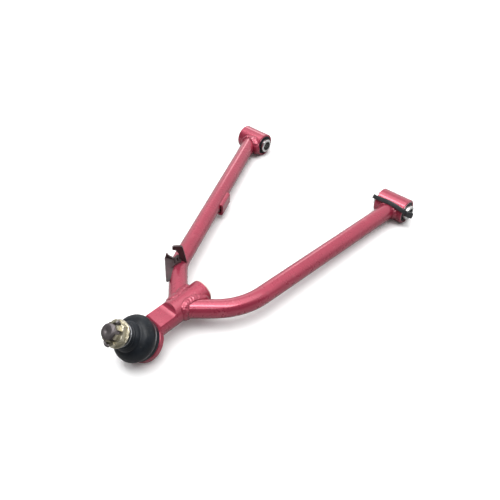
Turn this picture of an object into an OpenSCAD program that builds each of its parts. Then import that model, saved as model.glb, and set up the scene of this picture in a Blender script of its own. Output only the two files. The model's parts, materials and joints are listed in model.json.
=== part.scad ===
// Tubular suspension control arm: two rubber-bushed pivots, two bent tubes welded to a
// forged knuckle, and a sealed ball joint with its castle nut.
// The origin is the centre of the rear pivot. X runs along the pivot axis to the front
// pivot, -Y points to the ball joint and Z is up. The arm rests on its two pivot barrels
// and on the rim of the ball cup.

/* [Pivots] */
// Distance between the centres of the two pivots
pivot_spread = 188; // [165:1:240]
// Outside diameter of a pivot barrel
barrel_od = 25; // [23:0.5:32]
// Wall of a pivot barrel
barrel_wall = 2; // [1.2:0.1:2.5]
// Length of a pivot barrel
barrel_len = 31; // [28:1:44]
// Outside diameter of an inner sleeve
sleeve_od = 15; // [13:0.5:16]
// Bore of an inner sleeve, for an M10 pivot bolt
sleeve_bore = 10.2; // [8.2:0.1:11]
// How far an inner sleeve stands out at each end of its barrel
sleeve_stickout = 3.5; // [1:0.5:8]
// Wall of the thin shell around a rubber bush
bush_shell_wall = 0.8; // [0.5:0.1:1.2]
// How far a bush shell's ends lie inside its barrel
bush_shell_inset = 1; // [0.5:0.1:3]
// Radial gap between a bush and the sleeve that turns in it
bush_gap = 0.05; // [0.02:0.01:0.08]

/* [Arm tubes] */
// Outside diameter of both arm tubes
tube_od = 16; // [13:0.5:18]
// Wall of both arm tubes
tube_wall = 1.8; // [1.2:0.1:3]
// Distance of the rear tube's bend from the point where the two tube lines meet
rear_bend_out = 54.1; // [46:0.1:64]
// Distance of the front tube's bend from that point
front_bend_out = 52.5; // [46:0.1:64]
// Offset of the rear tube's line from the middle of its barrel
rear_tube_shift = -3.7; // [-4:0.1:0]
// Offset of the front tube's line from the middle of its barrel
front_tube_shift = 1.3; // [-2:0.1:3]
// Angle at which both tubes run into the shank
splay = 47; // [40:0.5:55]
// Bend radius of the rear tube, at its centre line
rear_bend_r = 50; // [30:1:60]
// Bend radius of the front tube, at its centre line
front_bend_r = 58; // [30:1:62]
// Size of the weld beads around the tube ends
weld_leg = 2.4; // [1.5:0.1:3]

/* [Knuckle] */
// Distance from the pivot axis to the centre of the ball
ball_reach = 288; // [240:1:350]
// Distance of the ball from the rear pivot, along the pivot axis
ball_offset = 134.5; // [110:0.5:145]
// Distance from the ball back to the point where the two tube lines meet
yoke_setback = 43.5; // [40:0.5:60]
// Outside diameter of the shank
shank_od = 21; // [19:0.5:25]
// How far the shank runs on behind the tubes' meeting point
shank_tail = 27; // [22:1:40]
// Bore in the tail of the shank
shank_bore = 14; // [8:0.5:15]
// Depth of that bore
shank_bore_depth = 34; // [15:1:40]
// Distance along the arm from the ball to the far end of the flat on the shank
flat_end = 37; // [32:0.5:40]
// Radius of the cutter that leaves the step at the flat's far end
flat_cove = 6; // [3:0.5:9]
// Thickness of the rim of the shank's end plug
plug_rim = 1.4; // [1:0.1:3]
// How far the end plug reaches into the shank
plug_reach = 7; // [3:0.5:12]

/* [Ball joint] */
// Angle of the ball joint's axis from straight up, leaning away from the pivots
joint_tilt = 38; // [30:0.5:42]
// Sideways swing of that lean, towards the rear
joint_yaw = 4; // [0:0.5:10]
// Largest angle of the stud from the cup's axis
swing_limit = 20; // [5:1:20]
// Diameter of the ball
ball_od = 19; // [18:0.5:19.6]
// Gap around the moving ball and seat
ball_gap = 0.05; // [0.02:0.01:0.08]
// Bore of the cup
cup_bore = 24; // [23.5:0.5:24.5]
// Outside diameter of the cup's upper sleeve, inside the boot
cup_sleeve_od = 27.8; // [27.4:0.1:29]
// Outside diameter of the cup below the boot
cup_od = 34; // [32:0.5:38]
// Depth of the cup below the centre of the ball
cup_depth = 14; // [13.8:0.1:18]
// Distance from the centre of the ball down to the cup's shoulder
shoulder_drop = 7.5; // [6.5:0.1:8.5]
// Diameter of the stud's thread
thread_od = 12; // [10:0.5:12.4]
// Diameter of the stud's taper at its large end
taper_od = 14.4; // [13:0.1:14.4]
// Distance from the centre of the ball to the nut's seat
nut_seat = 21.5; // [21:0.5:28]
// How far the stud stands out of the nut
stud_proud = 3.1; // [2:0.1:8]
// Largest diameter of the rubber boot
boot_od = 37.6; // [36:0.1:40]
// Thickness of the boot's rubber
boot_wall = 1.6; // [1:0.1:2]
// Diameter of the wire in the boot's lower ring
lower_ring_wire = 1.2; // [0.6:0.1:1.4]
// Diameter of the wire in the boot's upper ring
upper_ring_wire = 1.2; // [0.8:0.1:1.4]

/* [Nut and cotter pin] */
// Width of the castle nut across its flats
nut_af = 18; // [17:0.5:19]
// Diameter of the nut's flange
nut_flange_od = 22; // [20:0.5:24]
// Thickness of the nut's flange
nut_flange_t = 1.8; // [1.2:0.1:3]
// Height of the nut's hexagon above its flange
nut_hex_h = 4.7; // [4:0.1:9]
// Height of the nut's slotted crown
nut_crown_h = 3.6; // [3.4:0.1:6]
// Diameter of the nut's slotted crown
nut_crown_od = 14.8; // [14.4:0.1:17]
// Width of the slots in the crown
nut_slot_w = 3.2; // [3:0.1:4]
// Diameter of the cotter pin
cotter_d = 2.8; // [2:0.1:2.8]

/* [Brackets] */
// Thickness of the sheet of the hose bracket and the hose guide
sheet_t = 2; // [1.5:0.1:2.5]
// Length of the hose bracket's wing along the tube
wing_len = 27; // [18:0.5:30]
// How far the wing reaches out past the side of the tube
wing_overhang = 2.5; // [1.5:0.1:4]
// Height of the bracket's cross ear above the tube
ear_rise = 16; // [12:0.5:22]
// Width of the cross ear above the tube
ear_w = 9.2; // [8:0.1:11]
// Width of the slot in the bracket's small lug
lug_slot_w = 2.4; // [1.2:0.1:3]
// Distance along the rear tube from the pivot axis to the middle of the hose guide
guide_along = 128; // [100:1:150]
// Length of the hose guide
guide_len = 22.5; // [16:0.5:34]
// Gap between the tube's side and the inside of the hose guide
guide_gap = 0.8; // [0.4:0.1:4]
// Height of the hose guide
guide_h = 13; // [11:0.5:15]
// How far the middle of the hose guide lies under the middle of the tube
guide_drop = 3; // [2:0.5:4]
// Width of the lip under the hose guide
guide_lip = 5.4; // [4:0.2:6]

/* [Hidden] */
$fn = 96;

far = 400;          // longer than the whole arm
bend_thinning = 0.04;
bend_overlap = 0.5;
tiny = 0.01;        // keeps cutting faces off the faces they cut
barrel_chamfer = 0.6;
sleeve_chamfer = 0.5;
barrel_bore = barrel_od - 2 * barrel_wall;
sleeve_len = barrel_len + 2 * sleeve_stickout;
bush_shell_id = barrel_bore - 2 * bush_shell_wall;
bush_shell_len = barrel_len - 2 * bush_shell_inset;

// Height of the ball at which the arm rests flat on both barrels and on the cup's rim
ball_rise = cup_od / 2 * sin(joint_tilt) + cup_depth * cos(joint_tilt) - barrel_od / 2;
arm_pitch = atan(ball_rise / ball_reach);
arm_len = norm([ball_reach, ball_rise]);
yoke_y = arm_len - yoke_setback;
tail_y = yoke_y - shank_tail;

// The flat starts where the shank meets the plane of the cup's shoulder, behind the boot's
// collar
collar_clearance = 1;
flat_start = cup_od / 2 + collar_clearance;
plane_tilt = joint_tilt + arm_pitch;
flat_start_y = flat_start * cos(plane_tilt) + shoulder_drop * sin(plane_tilt);
flat_start_z = flat_start * sin(plane_tilt) - shoulder_drop * cos(plane_tilt);

// Levels along the ball joint's axis, from the centre of the ball
cup_lip_under = 4.4;    // underside of the lip that holds the upper seat
cup_top = 6.2;          // top of the cup, inside the boot
seat_split = 0.6;       // the upper seat ends this far below the ball's centre
seat_split_gap = 0.4;   // between the two seats
lower_seat_floor = 11;
washer_h = 0.7;
washer_rise = 0.5;
washer_gap = 0.05;
cover_t = 1.25;
cover_top = cup_depth - 0.35 - cover_t;
cover_od = cup_bore + 1.8;
stake_od = cup_bore + 0.4;
neck_od = 11.2;
neck_end = 11;
// The cup's mouth clears both the ball and the stud's neck at the end of its swing
mouth_clearance = 0.4;
mouth_r = mouth_clearance + max(
    neck_od / 2 / cos(swing_limit) + cup_top * tan(swing_limit),
    sqrt(pow(ball_od / 2, 2) - pow(cup_lip_under, 2))
);
taper_start = 12;
thread_start = nut_seat - 0.8;
taper_per_mm = 0.1;
nut_h = nut_flange_t + nut_hex_h + nut_crown_h;
stud_end = nut_seat + nut_h + stud_proud;
slot_depth = nut_crown_h + 0.8;
cotter_level = nut_seat + nut_h - slot_depth / 2 - 0.2;
boot_neck_r = 9;
boot_neck_top = nut_seat - 0.9;
boot_neck_bore = taper_od / 2;
lower_ring_level = -2.3;
upper_ring_level = boot_neck_top - 3;
bulge_level = 2.6;

// Cross-section of a ring: radii and levels
module ring(r_in, r_out, z_low, z_high) {
    translate([0, 0, z_low])
        difference() {
            cylinder(r = r_out, h = z_high - z_low);
            translate([0, 0, -1]) cylinder(r = r_in, h = z_high - z_low + 2);
        }
}

// A tube along Z with its rims chamfered
module chamfered_tube(r_in, r_out, length, chamfer) {
    h = length / 2;
    rotate_extrude()
        polygon([
            [r_in, -h], [r_out - chamfer, -h], [r_out, -h + chamfer],
            [r_out, h - chamfer], [r_out - chamfer, h], [r_in, h]
        ]);
}

// A ring of round wire
module wire_ring(centre_r, wire_d) {
    rotate_extrude()
        translate([centre_r, 0])
            circle(d = wire_d);
}

// Places a child at a pivot, with its Z along the pivot axis
module at_pivot(x) {
    translate([x, 0, 0]) rotate([0, 90, 0]) children();
}

// The plane through the pivot axis and the centre of the ball
module in_arm_plane() {
    rotate([-arm_pitch, 0, 0]) children();
}

// The ball joint's frame: origin at the ball, Z along the cup's axis to the nut
module at_ball() {
    translate([ball_offset, -ball_reach, ball_rise])
        rotate([joint_tilt, 0, -joint_yaw])
            children();
}

// A rod in the arm plane from a point along a heading; 0 runs along -Y, 90 along +X.
// With a bore it is a tube.
module rod_along(from, heading, length, d, bore = 0) {
    translate([from[0], from[1], 0])
        rotate([90, 0, heading])
            rotate_extrude()
                translate([bore / 2, 0])
                    square([(d - bore) / 2, length]);
}

// The two straights of a tube meet at its corner, a set distance out from the yoke.
// The first straight leans from its pivot to that corner.
// side is 1 for the rear tube and -1 for the front one.
function pivot_point(side) = side > 0 ? [rear_tube_shift, 0]
                                      : [pivot_spread + front_tube_shift, 0];
function bend_out(side) = side > 0 ? rear_bend_out : front_bend_out;
function direction(heading) = [sin(heading), -cos(heading)];
function corner(side) = [ball_offset, -yoke_y] - bend_out(side) * direction(side * splay);
function lean(side) = atan((corner(side)[0] - pivot_point(side)[0]) / -corner(side)[1]);
function turn(side) = splay - side * lean(side);
function bend_r(side) = side > 0 ? rear_bend_r : front_bend_r;
function tangent_len(side) = bend_r(side) * tan(turn(side) / 2);

// A bent rod along a tube's whole centre line. With a bore it is a tube. The wall is
// slightly thinner around the bend, where the metal was stretched, and the bend runs a
// little way into both straights.
module bent_rod(side, d, bore = 0) {
    start = pivot_point(side);
    bend_at = corner(side);
    yoke = [ball_offset, -yoke_y];
    t = tangent_len(side);
    first = norm(bend_at - start) - t;
    second = norm(yoke - bend_at) - t;
    heading = lean(side);
    out_heading = side * splay;
    bend_start = start + first * direction(heading);
    bend_end = bend_at + t * direction(out_heading);
    rod_along(start, heading, first, d, bore);
    rod_along(bend_end, out_heading, second, d, bore);
    translate([bend_start[0], bend_start[1], 0])
        rotate([0, 0, heading])
            translate([side * bend_r(side), 0, 0])
                rotate([0, 0, (side > 0 ? 180 : -turn(side)) - bend_overlap])
                    rotate_extrude(angle = turn(side) + 2 * bend_overlap)
                        translate([bend_r(side), 0])
                            difference() {
                                circle(d = d - 2 * bend_thinning);
                                if (bore > 0) circle(d = bore + 2 * bend_thinning);
                            }
}

module shank_rod(d) {
    rod_along([ball_offset, -tail_y], 0, arm_len - tail_y, d);
}

module barrel_rod(x, d) {
    at_pivot(x) cylinder(d = d, h = barrel_len, center = true);
}

function pivot_x(side) = side > 0 ? 0 : pivot_spread;

module arm_tube(side) {
    color("crimson")
        in_arm_plane()
            difference() {
                bent_rod(side, tube_od, tube_od - 2 * tube_wall);
                barrel_rod(pivot_x(side), barrel_od);
                shank_rod(shank_od);
            }
}

module pivot_barrel(x) {
    color("crimson")
        at_pivot(x)
            chamfered_tube(barrel_bore / 2, barrel_od / 2, barrel_len, barrel_chamfer);
}

// A bead where a tube meets its barrel, bounded by both surfaces grown by the weld's size
module barrel_weld(side) {
    color("firebrick")
        in_arm_plane()
            difference() {
                intersection() {
                    rod_along(pivot_point(side), lean(side), barrel_od, tube_od + 2 * weld_leg);
                    barrel_rod(pivot_x(side), barrel_od + 2 * weld_leg);
                }
                barrel_rod(pivot_x(side), barrel_od);
                rod_along(pivot_point(side), lean(side), barrel_od * 2, tube_od);
            }
}

// A bead where a tube meets the shank
module yoke_weld(side) {
    yoke = [ball_offset, -yoke_y];
    back = side * splay + 180;
    color("firebrick")
        in_arm_plane()
            difference() {
                intersection() {
                    rod_along(yoke, back, shank_od * 1.5, tube_od + 2 * weld_leg);
                    shank_rod(shank_od + 2 * weld_leg);
                }
                shank_rod(shank_od);
                rod_along(yoke, back, shank_od * 2, tube_od);
            }
}

module knuckle() {
    color("crimson")
        difference() {
            union() {
                difference() {
                    in_arm_plane() shank_rod(shank_od);
                    in_arm_plane() flat_cutter();
                    // the shank's end lies level with the cup's shoulder under the boot
                    at_ball()
                        translate([-shank_od, -2 * shank_od, -shoulder_drop])
                            cube([2 * shank_od, 2 * shank_od + flat_start, 3 * shank_od]);
                }
                at_ball() cup_outside();
            }
            at_ball() cup_cavity();
            in_arm_plane()
                rod_along([ball_offset, -tail_y + 1], 0, shank_bore_depth + 1, shank_bore);
        }
}

// The flat on the shank, with the step that its cutter leaves at the far end
module flat_cutter() {
    translate([ball_offset - shank_od, -arm_len, 0])
        rotate([90, 0, 90])
            linear_extrude(2 * shank_od)
                polygon(concat(
                    [[flat_start_y - shank_od, flat_start_z]],
                    corner_arc([flat_end - flat_cove, flat_start_z + flat_cove], flat_cove,
                               -90, 0),
                    [[flat_end, 2 * shank_od], [flat_start_y - shank_od, 2 * shank_od]]
                ));
}

module cup_outside() {
    shoulder_chamfer = 0.8;
    rotate_extrude()
        polygon([
            [0, -cup_depth], [cup_od / 2 - 1.5, -cup_depth], [cup_od / 2, -cup_depth + 1.5],
            [cup_od / 2, -shoulder_drop - shoulder_chamfer],
            [cup_od / 2 - shoulder_chamfer, -shoulder_drop],
            [cup_sleeve_od / 2, -shoulder_drop], [cup_sleeve_od / 2, cup_top - 1],
            [cup_sleeve_od / 2 - 1, cup_top], [0, cup_top]
        ]);
}

module cup_cavity() {
    mouth_flare = 0.6;
    rotate_extrude()
        polygon([
            [0, -cup_depth - 1], [stake_od / 2, -cup_depth - 1],
            [stake_od / 2, -cover_top - cover_t], [cover_od / 2, -cover_top - cover_t],
            [cover_od / 2, -cover_top], [cup_bore / 2, -cover_top],
            [cup_bore / 2, cup_lip_under], [mouth_r, cup_lip_under],
            [mouth_r + mouth_flare, cup_top + tiny], [mouth_r + mouth_flare, cup_top + 1],
            [0, cup_top + 1]
        ]);
}

module shank_end_plug() {
    color("gainsboro")
        in_arm_plane()
            translate([ball_offset, -tail_y, 0])
                rotate([-90, 0, 0])
                    rotate_extrude()
                        polygon([
                            [0, 0], [0, plug_rim - 0.4], [shank_bore / 2 - 2, plug_rim - 0.4],
                            [shank_bore / 2 - 1, plug_rim], [shank_od / 2 - 0.5, plug_rim],
                            [shank_od / 2, plug_rim - 0.5], [shank_od / 2, 0],
                            [shank_bore / 2, 0], [shank_bore / 2, -plug_reach],
                            [shank_bore / 2 - 1.2, -plug_reach], [shank_bore / 2 - 1.2, 0]
                        ]);
}

module bush_shell(x) {
    color("dimgray")
        at_pivot(x)
            ring(bush_shell_id / 2, barrel_bore / 2, -bush_shell_len / 2, bush_shell_len / 2);
}

module bush_rubber(x) {
    r_in = sleeve_od / 2 + bush_gap;
    r_out = bush_shell_id / 2;
    lip_r = barrel_bore / 2 - 0.2;
    h = bush_shell_len / 2;
    end = barrel_len / 2 - 0.2;
    color("#202020")
        at_pivot(x)
            rotate_extrude()
                polygon([
                    [r_in, -end + 0.3], [r_in + 1, -end - 0.4], [lip_r - 1, -end - 0.2],
                    [lip_r, -end + 0.3], [lip_r, -h], [r_out, -h],
                    [r_out, h], [lip_r, h], [lip_r, end - 0.3],
                    [lip_r - 1, end + 0.2], [r_in + 1, end + 0.4], [r_in, end - 0.3]
                ]);
}

module inner_sleeve(x) {
    color("silver")
        at_pivot(x)
            chamfered_tube(sleeve_bore / 2, sleeve_od / 2, sleeve_len, sleeve_chamfer);
}

// Frame at the rear tube's bend, along its second straight: X across to the tube's inner
// side, Y back along it towards the pivots
module at_bracket() {
    in_arm_plane()
        translate([corner(1)[0], corner(1)[1], 0])
            rotate([0, 0, splay])
                children();
}

// The bracket is a folded sheet: an ear that stands across the tube, a wing that falls away
// in front of it along the tube's outer side, and a foot over the tube with a slotted lug
ear_front = -4;
fold = ear_front + sheet_t / 2;     // the wing and the foot start inside the ear
wing_out = tube_od / 2 + wing_overhang;
wing_rise = 21;     // slope up and out from the tube
wing_fall = 13.5;   // slope down along the tube
wing_level = tube_od / 2 + 0.95;

module bracket_wing() {
    tip_out = tube_od / 2 - 0.4;
    tip_w = 2;
    outer = wing_out / cos(wing_rise);
    translate([0, 0, wing_level])
        rotate([wing_fall, wing_rise, 0])
            translate([0, 0, -sheet_t])
                linear_extrude(sheet_t)
                    polygon([
                        [0, fold], [-outer, fold], [-tip_out, -wing_len],
                        [tip_w - tip_out, -wing_len], [0, -wing_len / 2]
                    ]);
}

module bracket_foot() {
    left = -5.5;
    right = 3;
    long_side = 13.5;
    short_side = 6;
    intersection() {
        translate([0, fold, 0])
            rotate([90, 0, 0])
                cylinder(d = tube_od + 2 * sheet_t, h = long_side * 2);
        translate([0, 0, tube_od / 4])
            linear_extrude(tube_od)
                polygon([
                    [left, fold], [left, -long_side], [right, -short_side], [right, fold]
                ]);
    }
}

module bracket_lug() {
    lug_w = 5.4;
    lug_rise = 7.6;
    lug_t = 1.6;
    lug_turn = 53;
    slot_rise = 2;
    slot_h = 4.2;
    translate([-0.9, -7.1, 0])
        rotate([90, 0, lug_turn])
            translate([-lug_w / 2, 0, -lug_t / 2])
                linear_extrude(lug_t)
                    difference() {
                        square([lug_w, tube_od / 2 + lug_rise]);
                        translate([(lug_w - lug_slot_w) / 2, tube_od / 2 + slot_rise])
                            square([lug_slot_w, slot_h]);
                    }
}

// Levels in the ear's outline are heights above the top of the tube
module bracket_ear() {
    tube_top = tube_od / 2;
    ear_top = tube_top + ear_rise;
    ear_left = -4;
    ear_right = ear_left + ear_w;
    foot_right = ear_right + 2.2;
    big_corner = 3;
    small_corner = 2;
    notch_top = ear_top - 3.4;
    horn_top = tube_top + 7.6;
    translate([0, ear_front + sheet_t, 0])
        rotate([90, 0, 0])
            linear_extrude(sheet_t)
                polygon(concat(
                    [[-tube_top + 2, sheet_t], [foot_right, sheet_t],
                     [foot_right - 0.2, tube_top + 1]],
                    corner_arc([ear_right - big_corner, ear_top - big_corner],
                               big_corner, 0, 90),
                    corner_arc([ear_left + small_corner, ear_top - small_corner],
                               small_corner, 90, 180),
                    [[ear_left, notch_top], [ear_left + 3, notch_top - 1.2],
                     [ear_left + 5, notch_top - 4.4], [ear_left + 5.4, tube_top + 2.2],
                     [ear_left - 0.5, tube_top + 2.8], [-wing_out + 3.1, tube_top + 5.4],
                     [-wing_out + 1.9, horn_top], [-wing_out + 0.7, horn_top],
                     [-wing_out, tube_top + 4], [-wing_out, tube_top + 1]]
                ));
}

module hose_bracket() {
    color("#4c4546")
        difference() {
            at_bracket() {
                bracket_wing();
                bracket_foot();
                bracket_lug();
                bracket_ear();
            }
            in_arm_plane() bent_rod(1, tube_od);
        }
}

function corner_arc(centre, r, from, to) = [
    for (a = [from : 15 : to]) centre + r * [cos(a), sin(a)]
];

// The bead that holds the bracket runs over the tube behind the ear
module hose_bracket_weld() {
    bead = 1.6;
    from_side = 20;
    to_side = 140;
    ear_back = ear_front + sheet_t;
    color("firebrick")
        difference() {
            at_bracket()
                translate([0, ear_back, 0])
                    rotate([90, 0, 0])
                        rotate([0, 0, from_side])
                            rotate_extrude(angle = to_side - from_side)
                                translate([tube_od / 2, 0])
                                    circle(r = bead);
            at_bracket()
                translate([-far / 2, ear_back - far, -far / 2])
                    cube([far, far, far]);
            in_arm_plane() bent_rod(1, tube_od);
        }
}

// A hook of sheet on the inner side of the rear tube: its top meets the tube, and its lip
// reaches under a hose led along the tube's lower side
module hose_guide() {
    half_h = guide_h / 2;
    out = tube_od / 2 + guide_gap + sheet_t;
    bend = 2.6;
    color("crimson")
        in_arm_plane()
            difference() {
                translate([pivot_point(1)[0], 0, 0])
                    rotate([90, 0, lean(1)])
                        translate([0, -guide_drop, guide_along - guide_len / 2])
                            difference() {
                                linear_extrude(guide_len)
                                    guide_outline(half_h, out, bend);
                                translate([0, 0, -1])
                                    linear_extrude(guide_len + 2)
                                        guide_outline(half_h - sheet_t, out - sheet_t,
                                                      bend - sheet_t);
                                // the lower side stays open up to the lip
                                translate([-1, -half_h - 1, -1])
                                    cube([out - guide_lip + 1, half_h, guide_len + 2]);
                            }
                bent_rod(1, tube_od);
            }
}

module guide_outline(half_h, out, bend) {
    polygon(concat(
        [[0, -half_h]],
        corner_arc([out - bend, -half_h + bend], bend, -90, 0),
        corner_arc([out - bend, half_h - bend], bend, 0, 90),
        [[0, half_h]]
    ));
}

module ball_stud() {
    chamfer = 1;
    color("darkgray")
        at_ball()
            difference() {
                union() {
                    sphere(d = ball_od);
                    rotate_extrude()
                        polygon([
                            [0, 0], [neck_od / 2, 0], [neck_od / 2, neck_end],
                            [taper_od / 2, taper_start],
                            [max(thread_od / 2, taper_od / 2 - taper_per_mm
                                 * (thread_start - taper_start)), thread_start],
                            [thread_od / 2, thread_start], [thread_od / 2, stud_end - chamfer],
                            [thread_od / 2 - chamfer, stud_end], [0, stud_end]
                        ]);
                }
                translate([0, 0, cotter_level])
                    rotate([90, 0, 0])
                        cylinder(d = cotter_d + 0.4, h = 2 * thread_od, center = true);
            }
}

module upper_ball_seat() {
    color("wheat")
        at_ball()
            difference() {
                translate([0, 0, -seat_split])
                    cylinder(d = cup_bore, h = cup_lip_under + seat_split);
                sphere(d = ball_od + 2 * ball_gap);
            }
}

module lower_ball_seat() {
    pocket_d = 5;
    color("wheat")
        at_ball()
            difference() {
                translate([0, 0, -lower_seat_floor])
                    cylinder(r = cup_bore / 2 - ball_gap,
                             h = lower_seat_floor - seat_split - seat_split_gap);
                sphere(d = ball_od + 2 * ball_gap);
                translate([0, 0, -lower_seat_floor - 1])
                    cylinder(d = pocket_d, h = lower_seat_floor);
            }
}

// A coned spring washer that presses the lower seat against the ball
module preload_washer() {
    top = -lower_seat_floor - washer_gap;
    inner_r = 5;
    outer_r = cup_bore / 2 - 0.4;
    color("lightsteelblue")
        at_ball()
            rotate_extrude()
                polygon([
                    [inner_r, top - washer_h], [inner_r, top],
                    [outer_r, top - washer_rise], [outer_r, -cover_top]
                ]);
}

module cup_cover_plate() {
    dish_r = 5;
    dish_depth = 0.6;
    color("slategray")
        at_ball()
            rotate_extrude()
                polygon([
                    [0, -cover_top - cover_t + dish_depth],
                    [dish_r, -cover_top - cover_t + dish_depth],
                    [dish_r + 1, -cover_top - cover_t], [cover_od / 2, -cover_top - cover_t],
                    [cover_od / 2, -cover_top], [0, -cover_top]
                ]);
}

// The boot's outline runs from its neck over a round bulge to the ring's groove, and from
// there down a thick collar to the lip on the cup's shoulder
function bulge_arc(r, grow, from, to) = [
    for (a = [from : -10 : to])
        [boot_od / 2 - r + (r + grow) * cos(a), bulge_level + (r + grow) * sin(a)]
];

module dust_boot() {
    bulge_r = 7;
    lip_bottom = -shoulder_drop + 0.1;
    lip_in = cup_sleeve_od / 2 + 0.1;
    collar_r = cup_od / 2;
    collar_bevel = 0.4;
    groove_r = lower_ring_inside() - 0.1;
    groove_top = lower_ring_level + lower_ring_wire / 2 + 0.1;
    groove_bottom = lower_ring_level - lower_ring_wire / 2 - 0.1;
    color("#1c1d20")
        at_ball()
            rotate_extrude()
                polygon(concat(
                    [[boot_neck_bore, boot_neck_top], [boot_neck_r - 0.4, boot_neck_top],
                     [boot_neck_r, boot_neck_top - 0.5], [boot_neck_r, boot_neck_top - 2],
                     [boot_neck_r - 0.8, boot_neck_top - 2.5],
                     [boot_neck_r - 0.8, boot_neck_top - 3.5],
                     [boot_neck_r + 0.4, boot_neck_top - 4], [boot_neck_r + 1, boot_neck_top - 5],
                     [boot_neck_r + 2, boot_neck_top - 6.5]],
                    bulge_arc(bulge_r, 0, 60, -30),
                    [[collar_r + collar_bevel, groove_top], [groove_r, groove_top],
                     [groove_r, groove_bottom], [collar_r - collar_bevel, groove_bottom],
                     [collar_r, groove_bottom - collar_bevel],
                     [collar_r, lip_bottom + collar_bevel], [collar_r - collar_bevel, lip_bottom],
                     [lip_in, lip_bottom], [lip_in, groove_bottom + boot_wall]],
                    reversed(bulge_arc(bulge_r, -boot_wall, 60, -30)),
                    [[boot_neck_r + 0.6, boot_neck_top - 6.8],
                     [boot_neck_bore, boot_neck_top - 5]]
                ));
}

function reversed(list) = [for (i = [len(list) - 1 : -1 : 0]) list[i]];

function lower_ring_inside() = cup_od / 2 - lower_ring_wire / 2;

module boot_lower_ring() {
    color("silver")
        at_ball()
            translate([0, 0, lower_ring_level])
                wire_ring(lower_ring_inside() + lower_ring_wire / 2, lower_ring_wire);
}

module boot_upper_ring() {
    color("#2a2a2c")
        at_ball()
            translate([0, 0, upper_ring_level])
                wire_ring(boot_neck_r - 0.8 + upper_ring_wire / 2 + 0.05, upper_ring_wire);
}

module castle_nut() {
    bevel = 0.5;
    color("#d8d2ae")
        at_ball()
            translate([0, 0, nut_seat])
                difference() {
                    union() {
                        rotate_extrude()
                            polygon([
                                [0, 0], [nut_flange_od / 2 - bevel, 0],
                                [nut_flange_od / 2, bevel], [nut_flange_od / 2, nut_flange_t - bevel],
                                [nut_af / 2, nut_flange_t], [0, nut_flange_t]
                            ]);
                        intersection() {
                            cylinder(d = nut_af / cos(30), h = nut_flange_t + nut_hex_h, $fn = 6);
                            rotate_extrude()
                                polygon([
                                    [0, 0], [nut_af, 0], [nut_af, nut_hex_h - 1],
                                    [nut_af / 2, nut_flange_t + nut_hex_h],
                                    [0, nut_flange_t + nut_hex_h]
                                ]);
                        }
                        cylinder(d = nut_crown_od, h = nut_h);
                    }
                    translate([0, 0, -1]) cylinder(d = thread_od, h = nut_h + 2);
                    for (a = [30 : 60 : 150])
                        rotate([0, 0, a])
                            translate([-nut_af, -nut_slot_w / 2, nut_h - slot_depth])
                                cube([2 * nut_af, nut_slot_w, slot_depth + 1]);
                }
}

// A split pin through the stud: a small eye on one side, and on the other one leg bent
// round the nut and one cut short
module cotter_pin() {
    r = cotter_d / 2;
    eye_wire = cotter_d * 0.55;
    eye_r = cotter_d * 0.4;
    pin_gap = 0.1;
    eye_y = nut_crown_od / 2 + 5 * pin_gap;
    bend_y = -nut_crown_od / 2 - r - pin_gap;
    leg_r = r * 0.8;
    bent_leg = 5.5;
    short_leg = 1.2;
    color("darkgray")
        at_ball()
            translate([0, 0, cotter_level]) {
                translate([0, bend_y, 0])
                    rotate([-90, 0, 0])
                        cylinder(r = r, h = eye_y - eye_r - bend_y);
                translate([0, eye_y, 0])
                    rotate([0, 90, 0])
                        wire_ring(eye_r, eye_wire);
                translate([0, bend_y, 0]) {
                    sphere(r = r);
                    rotate([0, 90, 6])
                        cylinder(r = leg_r, h = bent_leg);
                    rotate([90, 0, 0])
                        cylinder(r = leg_r, h = r + short_leg);
                }
            }
}

knuckle();
arm_tube(1);  // rear_arm_tube
arm_tube(-1);  // front_arm_tube
pivot_barrel(0);  // rear_pivot_barrel
pivot_barrel(pivot_spread);  // front_pivot_barrel
barrel_weld(1);  // rear_barrel_weld
barrel_weld(-1);  // front_barrel_weld
yoke_weld(1);  // rear_yoke_weld
yoke_weld(-1);  // front_yoke_weld
hose_bracket();
hose_bracket_weld();
hose_guide();
shank_end_plug();
bush_shell(0);  // rear_bush_shell
bush_rubber(0);  // rear_bush_rubber
inner_sleeve(0);  // rear_inner_sleeve
bush_shell(pivot_spread);  // front_bush_shell
bush_rubber(pivot_spread);  // front_bush_rubber
inner_sleeve(pivot_spread);  // front_inner_sleeve
ball_stud();
upper_ball_seat();
lower_ball_seat();
preload_washer();
cup_cover_plate();
dust_boot();
boot_lower_ring();
boot_upper_ring();
castle_nut();
cotter_pin();
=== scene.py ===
"""Control arm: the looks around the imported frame.

The welded arm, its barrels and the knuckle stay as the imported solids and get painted.
Weld beads, the rubber boot, the threaded stud, the split pin and the cable tie that is
looped through the front pivot are modelled here. Lengths are in metres, apart from what
is named _mm and points that in_metres() takes. The sizes shared with the CAD are the
values of part.scad; the rest are chosen here.
"""
import json
import math

import bmesh
import bpy
from mathutils import Matrix, Vector, noise


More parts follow.
